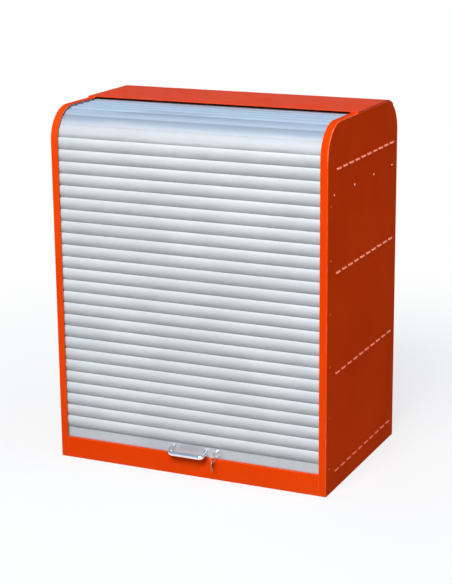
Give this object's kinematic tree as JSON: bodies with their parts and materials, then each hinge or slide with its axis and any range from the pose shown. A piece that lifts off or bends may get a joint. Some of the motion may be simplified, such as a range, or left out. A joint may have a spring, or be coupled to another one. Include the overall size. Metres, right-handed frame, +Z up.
{
  "type": "roller shutter storage cabinet",
  "caption": "Upright sheet-metal cabinet for hazardous goods, with shelves, a spill floor and a slatted roller shutter that lifts over an arched top, with a handle and a lock.",
  "frame": {"origin": "middle of the footprint, on the floor, at the underside of the floor support", "axes": "+X to the cabinet's right as seen from its front, +Y from the front to the rear, +Z up"},
  "size_m": [0.903, 0.6352, 1.116],
  "materials": {
    "orange_paint": "semi-gloss orange powder coat",
    "slat_aluminium": "satin silver lacquered slats",
    "rail_aluminium": "satin anodised",
    "zinc_steel": "bright zinc plate",
    "handle_metal": "satin nickel plate",
    "lock_chrome": "bright chrome",
    "key_nickel": "nickel plated, lightly worn",
    "seal_rubber": "matte black",
    "cap_plastic": "dark grey"
  },
  "bodies": {
    "carcass": {"left_side_panel": "orange_paint", "right_side_panel": "orange_paint", "left_edge_band": "orange_paint", "right_edge_band": "orange_paint", "left_stiffener": "orange_paint", "right_stiffener": "orange_paint", "top_cover": "orange_paint", "rear_panel": "orange_paint", "inner_back_panel": "orange_paint", "plinth": "orange_paint", "floor_support": "orange_paint", "sump_floor": "orange_paint", "lower_shelf": "orange_paint", "upper_shelf": "orange_paint", "ceiling_panel": "orange_paint", "left_guide_track": "zinc_steel", "right_guide_track": "zinc_steel", "track_rivets": "zinc_steel", "stiffener_rivets": "zinc_steel", "rear_screws": "zinc_steel", "head_slats": "slat_aluminium"},
    "shutter": {"bottom_rail": "rail_aluminium", "rail_seal": "seal_rubber", "rail_end_caps": "cap_plastic", "handle": "handle_metal", "handle_screws": "zinc_steel", "lock_housing": "lock_chrome", "lock_nut": "zinc_steel", "slat_01": "slat_aluminium", "slat_02": "slat_aluminium", "slat_03": "slat_aluminium", "slat_04": "slat_aluminium", "slat_05": "slat_aluminium", "slat_06": "slat_aluminium", "slat_07": "slat_aluminium", "slat_08": "slat_aluminium", "slat_09": "slat_aluminium", "slat_10": "slat_aluminium", "slat_11": "slat_aluminium", "slat_12": "slat_aluminium", "slat_13": "slat_aluminium", "slat_14": "slat_aluminium", "slat_15": "slat_aluminium", "slat_16": "slat_aluminium", "slat_17": "slat_aluminium", "slat_18": "slat_aluminium", "slat_19": "slat_aluminium", "slat_20": "slat_aluminium", "slat_21": "slat_aluminium", "slat_22": "slat_aluminium", "slat_23": "slat_aluminium", "slat_24": "slat_aluminium"},
    "lock": {"lock_plug": "lock_chrome", "lock_cam": "zinc_steel", "cam_screw": "zinc_steel", "key": "key_nickel"},
    "hanging_keys": {"key_ring": "key_nickel", "spare_key": "key_nickel"}
  },
  "joints": [
    {"name": "shutter_lift", "type": "slide", "parent": "carcass", "child": "shutter", "axis": [0, 0, 1], "range_m": [0, 0.876], "deforming": ["slat_01", "slat_02", "slat_03", "slat_04", "slat_05", "slat_06", "slat_07", "slat_08", "slat_09", "slat_10", "slat_11", "slat_12", "slat_13", "slat_14", "slat_15", "slat_16", "slat_17", "slat_18", "slat_19", "slat_20", "slat_21", "slat_22", "slat_23", "slat_24"]},
    {"name": "lock_turn", "type": "hinge", "parent": "shutter", "child": "lock", "pos_m": [0.09, -0.3, 0.0835], "axis": [0, -1, 0], "range_deg": [0, 90]},
    {"name": "key_swing", "type": "hinge", "parent": "lock", "child": "hanging_keys", "pos_m": [0.09, -0.322, 0.08155], "axis": [1, 0, 0], "range_deg": [-60, 12]}
  ]
}
